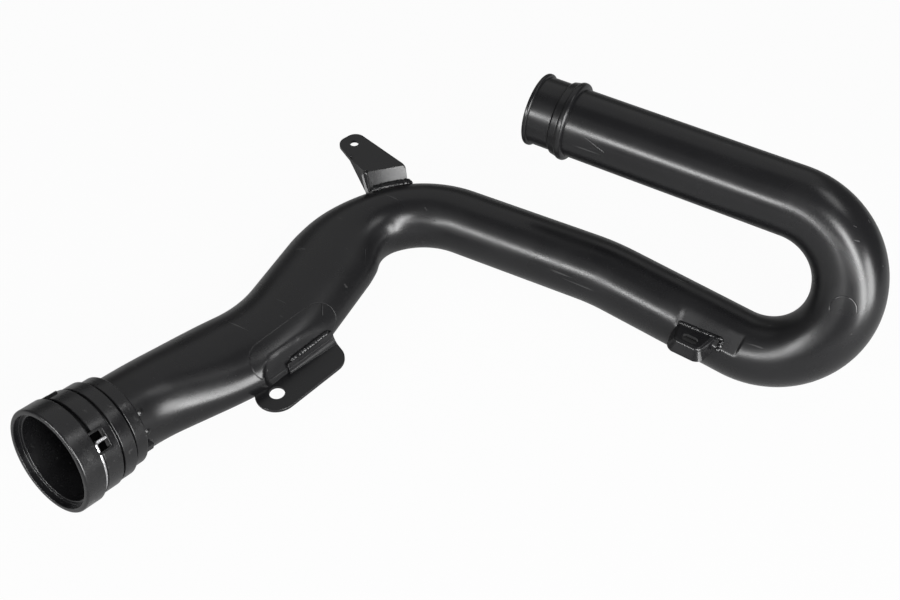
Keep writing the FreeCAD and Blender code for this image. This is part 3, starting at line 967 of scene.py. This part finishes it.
def edges_between(bm, start, end):
    """Edges that lie on the line from one point to another."""
    line = (end - start).normalized()
    limit = (end - start).length + line_slack
    chosen = []
    for edge in bm.edges:
        on_line = True
        for vert in edge.verts:
            offset = vert.co - start
            along = offset.dot(line)
            apart = (offset - line * along).length
            on_line = on_line and apart < line_slack and -line_slack < along < limit
        if on_line:
            chosen.append(edge)
    return chosen


def pulled(bm, edges, offset):
    """New wall pulled from edges: its far vertices."""
    verts = verts_of(bmesh.ops.extrude_edge_only(bm, edges=edges)["geom"])
    bmesh.ops.translate(bm, vec=offset, verts=verts)
    return verts


def bend_edges(bm, edges, radius):
    """Rounds folded edges as a press brake does."""
    rounded(bm, edges, radius, bend_segments, "EDGES")


def face_upwards(bm):
    """Turns a folded surface's faces so that its topmost one looks up."""
    bmesh.ops.recalc_face_normals(bm, faces=bm.faces)
    top = max(bm.faces, key=lambda face: (face.calc_center_median().z, face.calc_area()))
    if top.normal.z < 0:
        bmesh.ops.reverse_faces(bm, faces=bm.faces)


def slot_cutter(centre, along, length, width):
    """Upright round-ended cutter: a plain hole where its length is its width."""
    bm = bmesh.new()
    reach = UP * 3 * sheet
    low = Matrix.Translation(centre - reach)
    ring = bmesh.ops.create_circle(
        bm, cap_ends=True, segments=hole_segments, radius=width / 2, matrix=low
    )["verts"]
    straight = along * ((length - width) / 2)
    for vert in ring:
        vert.co += straight if (vert.co - centre).dot(along) > 0 else -straight
    top = verts_of(bmesh.ops.extrude_face_region(bm, geom=list(bm.faces))["geom"])
    bmesh.ops.translate(bm, vec=2 * reach, verts=top)
    return bm


def sheet_metal(piece, cutter):
    """Gives a folded surface its thickness, its hole and a fine broken edge."""
    wall = piece.modifiers.new("sheet", "SOLIDIFY")
    wall.thickness = sheet * METRES
    wall.offset = -1
    wall.use_even_offset = False
    cut_by(piece, cutter)
    edge = piece.modifiers.new("broken edge", "BEVEL")
    edge.width = broken_edge * METRES
    edge.segments = broken_edge_segments
    edge.limit_method = "ANGLE"
    edge.angle_limit = math.radians(broken_edge_angle)
    edge.harden_normals = False
    weighted(piece)


def on_skin(shape, point, above):
    """The point, moved to a height above the tube's skin."""
    hit = shape.ray_cast(Vector((point.x, point.y, above_all)), -UP)[0]
    return Vector((point.x, point.y, (hit.z if hit else 0.0) + above))


def upper_front():
    """Ends of the upper bracket's front edge, and the level way in which its front wall leans out."""
    lift = UP * upper_height
    along = (upper_front_right - upper_front_left).normalized()
    return upper_front_left + lift, upper_front_right + lift, along.cross(UP)


def make_upper_bracket(shape, material):
    """Pressed tongue with a hole, a front wall that leans out onto the elbow and a gusset at its left."""
    front_left, front_right, lean = upper_front()
    neck = upper_neck_left + UP * upper_height
    hole_centre = upper_hole_place + UP * upper_height
    ahead = (hole_centre - (front_left + front_right) / 2).normalized()
    across = ahead.cross(UP)
    tip = hole_centre + ahead * upper_tip_radius
    corners = [front_left, front_right]
    corners += [tip + across * upper_tip_radius, tip - across * upper_tip_radius, neck]
    tip_round = upper_tip_radius - upper_tip_flat
    bm = bmesh.new()
    plate_outline(bm, corners, [0, 0, tip_round, tip_round, upper_neck_radius])
    left = edges_between(bm, front_left, neck)
    left_places = [vert.co.copy() for edge in left for vert in edge.verts]
    left_end = max(left_places, key=lambda place: (place - front_left).length)
    front = edges_between(bm, front_left, front_right)
    bmesh.ops.subdivide_edges(bm, edges=front, cuts=upper_front_cuts)
    bmesh.ops.subdivide_edges(bm, edges=left, cuts=upper_gusset_cuts)
    rims = edges_between(bm, front_left, front_right) + edges_between(bm, front_left, left_end)
    front_foot = on_skin(shape, front_left + lean * upper_lean, upper_foot_gap)
    gusset_tip = on_skin(shape, front_left + lean * upper_gusset_lean, 0)
    for vert in pulled(bm, rims, Vector((0, 0, 0))):
        offset = vert.co - front_left
        share = offset.length / (left_end - front_left).length
        if abs(offset.dot(lean)) < fold_slack:
            vert.co = on_skin(shape, vert.co + lean * upper_lean, upper_foot_gap)
        elif share < upper_gusset_share:
            foot = front_foot.lerp(gusset_tip, share / upper_gusset_share)
            vert.co = on_skin(shape, foot, 0)
        else:
            rise = (share - upper_gusset_share) / (1 - upper_gusset_share)
            vert.co = gusset_tip.lerp(left_end - UP * sheet, rise)
    folds = edges_between(bm, front_left, front_right) + edges_between(bm, front_left, left_end)
    folds += edges_between(bm, front_left, front_foot)
    bend_edges(bm, list(dict.fromkeys(folds)), upper_bend)
    face_upwards(bm)
    piece = finished(bm, "upper_tab", ["upper_bracket"], material, recalculated=False)
    sheet_metal(piece, slot_cutter(hole_centre, ahead, upper_hole, upper_hole))


def side_corner():
    """Corner where the side bracket's flange and the underside of its plate would meet."""
    inner = side_place.flat + side_place.normal * side_flange_gap + side_place.rise * side_flange_top
    return inner - side_place.rise * side_flange_height


def make_side_bracket(material):
    """Bent plate: a level tongue with a hole, and a flange that lies on the side flat."""
    place = side_place
    corner = side_corner()
    half = side_flange_length / 2
    near = corner - place.way * (side_hole_lead + side_end_radius)
    far = corner + place.way * side_plate_end
    tuck = place.out * (side_plate_reach - 2 * side_end_radius)
    reach_out = place.out * side_plate_reach
    shoulder = corner - place.way * (half + sheet)
    flange_far = corner + place.way * half
    corners = [
        near + tuck, shoulder + tuck, shoulder, flange_far, far + reach_out, near + reach_out,
    ]
    end_round = side_end_radius - side_end_slack
    radii = [end_round, side_bend, 0, 0, side_corner_radius, end_round]
    bm = bmesh.new()
    plate_outline(bm, corners, radii, side_corner_segments)
    hole_centre = near + place.way * side_end_radius + reach_out - place.out * side_end_radius
    root = edges_between(bm, shoulder, flange_far)
    pulled(bm, root, place.rise * side_flange_height)
    bend_edges(bm, edges_between(bm, shoulder, flange_far), side_bend + sheet)
    bmesh.ops.recalc_face_normals(bm, faces=bm.faces)
    plate_face = min(bm.faces, key=lambda face: face.calc_center_median().z)
    if plate_face.normal.z > 0:
        bmesh.ops.reverse_faces(bm, faces=bm.faces)
    piece = finished(bm, "side_tab", ["side_bracket"], material, recalculated=False)
    sheet_metal(piece, slot_cutter(hole_centre, place.way, side_hole, side_hole))


def lower_directions():
    """Middle of the lower bracket's top above the tube's axis, and its level directions."""
    ahead = Vector((lower_place.way.x, lower_place.way.y, 0)).normalized()
    return lower_place.centre + UP * lower_plate_rise, ahead, ahead.cross(UP)


def make_lower_bracket(material):
    """Pressed cap with a slot and leaning skirts, welded to the lower flat by its open side."""
    middle, ahead, out = lower_directions()
    half = lower_plate_length / 2 - lower_draft
    front_half = lower_front_length / 2 - lower_draft
    front = lower_plate_reach - lower_draft
    corners = [
        middle - ahead * half + out * lower_root,
        middle + ahead * half + out * lower_root,
        middle + ahead * front_half + out * front,
        middle - ahead * front_half + out * front,
    ]
    bm = bmesh.new()
    plate_outline(bm, corners, [0, 0, lower_corner_radius, lower_corner_radius])
    rims = []
    for edge in bm.edges:
        if max((vert.co - middle).dot(out) for vert in edge.verts) > lower_root + line_slack:
            rims.append(edge)
    centre = middle + out * (lower_root + front) / 2
    for vert in pulled(bm, rims, UP * -lower_skirt):
        away = vert.co - centre
        away.z = 0
        vert.co += away.normalized() * lower_draft
    bend_edges(bm, [edge for edge in rims if edge.is_valid], lower_bend)
    face_upwards(bm)
    piece = finished(bm, "lower_cap", ["lower_bracket"], material, recalculated=False)
    slot = slot_cutter(middle + out * lower_slot_reach, ahead, lower_slot_length, lower_slot_width)
    sheet_metal(piece, slot)


# Weld beads


def spread(start, end, count):
    """Points from a start to an end, in even steps."""
    return [start + (end - start) * i / count for i in range(count + 1)]


def bead(bm, points, radius, pitch, seed):
    """Rippled weld bead along a list of points, drawn in at both ends."""
    dice = random.Random(seed)
    finer = []
    for start, end in zip(points, points[1:]):
        finer += spread(start, end, max(int((end - start).length / bead_step), 1))[:-1]
    finer.append(points[-1])
    length = sum((b - a).length for a, b in zip(finer, finer[1:]))
    travelled = 0.0
    radii = []
    wander = []
    beat = dice.uniform(0, 1)
    for i, point in enumerate(finer):
        if i:
            travelled += (point - finer[i - 1]).length
        share = travelled / length
        ends = min(1.0, math.sqrt(max(min(share, 1 - share) * length, bead_tip) / radius))
        phase = (travelled / pitch + beat) % 1.0
        ripple = ripple_low + ripple_swell * math.sqrt(phase)
        radii.append(radius * ends * ripple * dice.uniform(*bead_uneven))
        wander.append(point + Vector([dice.uniform(-bead_wander, bead_wander) for axis in range(3)]))
    sweep(bm, path_frames(wander, radii), bead_segments)
    close_ends(bm)


def make_upper_weld(shape, material):
    """Bead along the foot of the upper bracket's front wall, run on past its right end."""
    front_left, front_right, lean = upper_front()
    points = []
    for i in range(upper_bead_points + 1):
        share = upper_bead_start + upper_bead_run * i / upper_bead_points
        place = front_left.lerp(front_right, share) + lean * (upper_lean + upper_bead_out)
        points.append(on_skin(shape, place, upper_bead_above))
    bm = bmesh.new()
    bead(bm, points, *upper_bead_form)
    finished(bm, "upper_bead", ["upper_bracket_weld"], material, crisp_bead)


def make_side_weld(material):
    """Bead between the side bracket's flange and the flat."""
    base = side_corner() + side_place.rise * side_flange_height + side_place.normal * side_bead_out
    start = side_bead_inset - side_flange_length / 2
    points = []
    for i in range(straight_bead_points + 1):
        points.append(base + side_place.way * (start - 2 * start * i / straight_bead_points))
    bm = bmesh.new()
    bead(bm, points, *side_bead_form)
    finished(bm, "side_bead", ["side_bracket_weld"], material, crisp_bead)


def make_lower_weld(material):
    """Bead along the lower cap's joint with the flat, turned down its far end."""
    middle = lower_directions()[0]
    half = lower_plate_length / 2
    ends = []
    for along in (lower_bead_inset - half, half):
        foot = lower_place.flat + lower_place.way * along
        ends.append(foot + lower_place.rise * ((middle.z - foot.z) / lower_place.rise.z))
    near, far = ends
    down = far - lower_place.rise * lower_bead_drop
    bm = bmesh.new()
    bead(bm, spread(near, far, straight_bead_points), *lower_bead_form)
    bead(bm, spread(far, down, short_bead_points), *lower_end_bead_form)
    finished(bm, "lower_bead", ["lower_bracket_weld"], material, crisp_bead)


# Finishes


class Nodes:
    """Short calls for the nodes of a material or of the world."""

    def __init__(self, tree):
        self.tree = tree

    def add(self, kind, **settings):
        node = self.tree.nodes.new(kind)
        for key, value in settings.items():
            setattr(node, key, value)
        return node

    def link(self, source, target):
        self.tree.links.new(source, target)

    def feed(self, value, target):
        """Gives an input a plain value or another node's output."""
        if isinstance(value, bpy.types.NodeSocket):
            self.link(value, target)
        else:
            target.default_value = value

    def sum(self, first, second, operation="ADD"):
        node = self.add("ShaderNodeMath", operation=operation)
        self.feed(first, node.inputs[0])
        self.feed(second, node.inputs[1])
        return node.outputs[0]

    def rays(self):
        """1 for rays from the camera, and 1 for those that come off a gloss or through glass."""
        path = self.add("ShaderNodeLightPath").outputs
        mirrored = self.sum(path["Is Glossy Ray"], path["Is Transmission Ray"], "MAXIMUM")
        return path["Is Camera Ray"], mirrored


class Finish(Nodes):
    """A material of the object, with its patterns in metres."""

    def __init__(self, name):
        self.material = bpy.data.materials.new(name)
        self.material.use_nodes = True
        super().__init__(self.material.node_tree)
        self.shader = self.tree.nodes["Principled BSDF"]
        self.place = self.add("ShaderNodeTexCoord").outputs["Object"]

    def set(self, socket, value):
        self.feed(value, self.shader.inputs[socket])

    def noise(self, scale, detail=3.0, roughness=0.55, stretch=None):
        """Noise at so many marks per metre, turned and stretched if wanted."""
        node = self.add("ShaderNodeTexNoise")
        node.inputs["Scale"].default_value = scale
        node.inputs["Detail"].default_value = detail
        node.inputs["Roughness"].default_value = roughness
        place = self.place
        if stretch:
            mapping = self.add("ShaderNodeMapping")
            mapping.inputs["Rotation"].default_value = stretch[0]
            mapping.inputs["Scale"].default_value = stretch[1]
            self.link(place, mapping.inputs["Vector"])
            place = mapping.outputs["Vector"]
        self.link(place, node.inputs["Vector"])
        return node.outputs["Fac"]

    def ramp(self, source, low, high, from_value=0.0, to_value=1.0):
        """Maps a stretch of a value onto another, smoothly and within limits."""
        node = self.add("ShaderNodeMapRange", interpolation_type="SMOOTHSTEP")
        node.inputs["From Min"].default_value = low
        node.inputs["From Max"].default_value = high
        node.inputs["To Min"].default_value = from_value
        node.inputs["To Max"].default_value = to_value
        self.link(source, node.inputs["Value"])
        return node.outputs["Result"]

    def mix(self, share, first, second):
        """Colour between two, each a colour or a socket."""
        node = self.add("ShaderNodeMix", data_type="RGBA")
        self.feed(share, node.inputs[0])
        self.feed(first, node.inputs[6])
        self.feed(second, node.inputs[7])
        return node.outputs[2]

    def tint(self, share, strength, first, second):
        """Colour that goes a part of the way to a second one where a share is 1."""
        return self.mix(self.sum(share, strength, "MULTIPLY"), first, second)

    def vector(self, operation, first, second, output="Vector"):
        node = self.add("ShaderNodeVectorMath", operation=operation)
        self.feed(first, node.inputs[0])
        self.feed(second, node.inputs[1])
        return node.outputs[output]

    def mark(self, start, end, radius, width, lowest=None):
        """1 on a thin line at a radius from the stretch between two points, 0 away from it."""
        along = Vector(end) - Vector(start)
        offset = self.vector("SUBTRACT", self.place, start)
        share = self.vector("DOT_PRODUCT", offset, along / along.length_squared, "Value")
        foot = self.add("ShaderNodeVectorMath", operation="SCALE")
        foot.inputs[0].default_value = along
        within = self.add("ShaderNodeClamp")
        self.link(share, within.inputs["Value"])
        self.link(within.outputs[0], foot.inputs["Scale"])
        apart = self.vector("DISTANCE", offset, foot.outputs[0], "Value")
        away = self.sum(self.sum(apart, radius, "SUBTRACT"), 0.0, "ABSOLUTE")
        line = self.ramp(away, 0.0, width, 1.0, 0.0)
        if lowest is None:
            return line
        return self.sum(line, self.ramp(share, lowest, -lowest), "MULTIPLY")

    def bump(self, height, strength, distance, below=None):
        """Relief of a height pattern, on top of another relief if one is given."""
        node = self.add("ShaderNodeBump")
        node.inputs["Strength"].default_value = strength
        node.inputs["Distance"].default_value = distance
        self.link(height, node.inputs["Height"])
        if below:
            self.link(below, node.inputs["Normal"])
        return node.outputs["Normal"]


def satin_paint(name, roughness, grit):
    """Satin black paint over bare metal: orange peel, faint dust, hair scratches and marks."""
    paint = Finish(name)
    cloud = paint.noise(scale=22, detail=4)
    peel = paint.noise(scale=520, detail=2)
    specks = paint.noise(scale=1500, detail=2, roughness=0.7)
    strands = paint.noise(260, 2, 0.6, stretch=((0.3, 0.2, 0.7), (0.06, 1.0, 1.0)))
    dust = paint.ramp(specks, low=0.69, high=0.76)
    hair = paint.ramp(strands, low=0.70, high=0.76)
    base = paint.tint(dust, 0.35, paint.mix(cloud, paint_dark, paint_light), paint_dust)
    paint.set("Base Color", paint.tint(hair, 0.25, base, paint_scratch))
    sheen = paint.ramp(cloud, 0.3, 0.7, roughness - 0.04, roughness + 0.05)
    paint.set("Roughness", paint.sum(sheen, paint.sum(hair, 0.10, "MULTIPLY")))
    paint.set("Specular IOR Level", 0.42)
    marks = None
    for row in paint_marks:
        line = paint.mark(*row)
        marks = paint.sum(marks, line, "MAXIMUM") if marks else line
    normal = paint.bump(paint.sum(1.0, marks, "SUBTRACT"), strength=0.5, distance=0.0003)
    normal = paint.bump(peel, 0.035 + grit, distance=0.0002, below=normal)
    fine = paint.noise(scale=2600, detail=2)
    paint.set("Normal", paint.bump(fine, 0.06 + grit, distance=0.00008, below=normal))
    return paint.material


def moulded_plastic():
    """Black glass-filled plastic with a fine grain, and lighter streaks in its colour where it was
    handled: scuff wear, and partly a painted sheen for where it was rubbed shiny.
    """
    plastic = Finish("moulded_black_plastic")
    cloud = plastic.noise(scale=60, detail=4)
    rub_and_sheen_streaks = plastic.noise(330, 3, 0.6, stretch=((0.5, 0.4, 0.2), (0.3, 1.0, 1.0)))
    # Lighter streaks in the colour: scuff wear, and partly a painted sheen where the plastic was rubbed
    # shiny
    scuff_and_sheen = plastic.ramp(rub_and_sheen_streaks, low=0.60, high=0.74)
    base = plastic.mix(cloud, plastic_dark, plastic_light)
    plastic.set("Base Color", plastic.tint(scuff_and_sheen, 0.3, base, plastic_scuff_and_sheen))
    plastic.set("Roughness", plastic.ramp(cloud, 0.3, 0.7, from_value=0.18, to_value=0.32))
    plastic.set("Specular IOR Level", 0.5)
    grain = plastic.bump(plastic.noise(scale=1800, detail=2), strength=0.15, distance=0.0001)
    plastic.set("Normal", plastic.bump(scuff_and_sheen, strength=0.10, distance=0.0001, below=grain))
    return plastic.material


def spring_wire():
    """Bright drawn spring steel."""
    wire = Finish("drawn_spring_wire")
    lines = wire.noise(900, 2, 0.5, stretch=((0, 0, 0.4), (0.2, 1.0, 1.0)))
    wire.set("Base Color", wire.mix(lines, wire_dark, wire_light))
    wire.set("Roughness", wire.ramp(lines, 0.3, 0.7, from_value=0.18, to_value=0.32))
    wire.set("Metallic", 1.0)
    wire.set("Normal", wire.bump(lines, strength=0.08, distance=0.0001))
    return wire.material


def seal_rubber():
    """Dull moulded rubber with a little bloom."""
    rubber = Finish("moulded_rubber")
    bloom = rubber.noise(scale=240, detail=4)
    rubber.set("Base Color", rubber.mix(bloom, rubber_dark, rubber_light))
    rubber.set("Roughness", rubber.ramp(bloom, 0.3, 0.7, from_value=0.55, to_value=0.72))
    grain = rubber.noise(scale=1600, detail=2)
    rubber.set("Normal", rubber.bump(grain, strength=0.15, distance=0.0001))
    return rubber.material


# Stage


def make_floor():
    """Pale floor: near white to the camera, dimmer in reflections, and with the object's shadow."""
    bm = bmesh.new()
    bmesh.ops.create_grid(bm, x_segments=1, y_segments=1, size=floor_size)
    floor = added("floor", to_mesh(bm, "floor"))
    material = bpy.data.materials.new("white_floor")
    material.use_nodes = True
    nodes = Nodes(material.node_tree)
    nodes.tree.nodes.clear()
    matt = nodes.add("ShaderNodeBsdfDiffuse")
    matt.inputs["Color"].default_value = floor_grey
    glow = nodes.add("ShaderNodeEmission")
    glow.inputs["Color"].default_value = white
    glow.inputs["Strength"].default_value = 1.0
    from_camera, mirrored = nodes.rays()
    seen = nodes.sum(from_camera, floor_seen, "MULTIPLY")
    dimmed = nodes.sum(mirrored, floor_mirrored, "MULTIPLY")
    blend = nodes.add("ShaderNodeMixShader")
    nodes.link(nodes.sum(seen, dimmed, "MAXIMUM"), blend.inputs[0])
    nodes.link(matt.outputs[0], blend.inputs[1])
    nodes.link(glow.outputs[0], blend.inputs[2])
    nodes.link(blend.outputs[0], nodes.add("ShaderNodeOutputMaterial").inputs[0])
    floor.data.materials.append(material)


def make_world():
    """White to the camera, and a weak even light otherwise, a little stronger in reflections."""
    world = bpy.data.worlds.new("studio")
    bpy.context.scene.world = world
    world.use_nodes = True
    nodes = Nodes(world.node_tree)
    background = nodes.tree.nodes["Background"]
    background.inputs["Color"].default_value = white
    from_camera, mirrored = nodes.rays()
    even = nodes.sum(nodes.sum(mirrored, world_mirrored, "MULTIPLY"), world_plain)
    nodes.link(nodes.sum(from_camera, even, "MAXIMUM"), background.inputs["Strength"])


def softbox(name, place, target, width, height, power, roll):
    """Area lamp at a place, turned to a target and rolled."""
    lamp = bpy.data.lights.new(name, "AREA")
    lamp.shape = "RECTANGLE"
    lamp.size = width
    lamp.size_y = height
    lamp.energy = power
    holder = added(name, lamp)
    holder.location = place
    aim = (Vector(target) - Vector(place)).to_track_quat("-Z", "Y")
    holder.rotation_euler = (aim @ Quaternion(UP, math.radians(roll))).to_euler()


def make_camera():
    """Camera at the photograph's angle."""
    lens = bpy.data.cameras.new("camera")
    lens.lens = camera_lens
    lens.sensor_width = camera_sensor
    camera = added("camera", lens)
    place = settle @ camera_place
    target = settle @ camera_target
    camera.location = place
    camera.rotation_euler = (target - place).to_track_quat("-Z", "Y").to_euler()
    bpy.context.scene.camera = camera


paint = satin_paint("satin_black_paint", roughness=0.28, grit=0.0)
weld_paint = satin_paint("painted_weld", roughness=0.2, grit=0.2)
skin = make_tube(paint)
make_coupler(moulded_plastic())
make_clip(spring_wire())
make_seal(seal_rubber())
make_upper_bracket(skin, paint)
make_side_bracket(paint)
make_lower_bracket(paint)
make_upper_weld(skin, weld_paint)
make_side_weld(weld_paint)
make_lower_weld(weld_paint)
make_floor()
make_world()
for row in lamps:
    softbox(*row)
make_camera()
bpy.context.scene.view_settings.view_transform = "Standard"
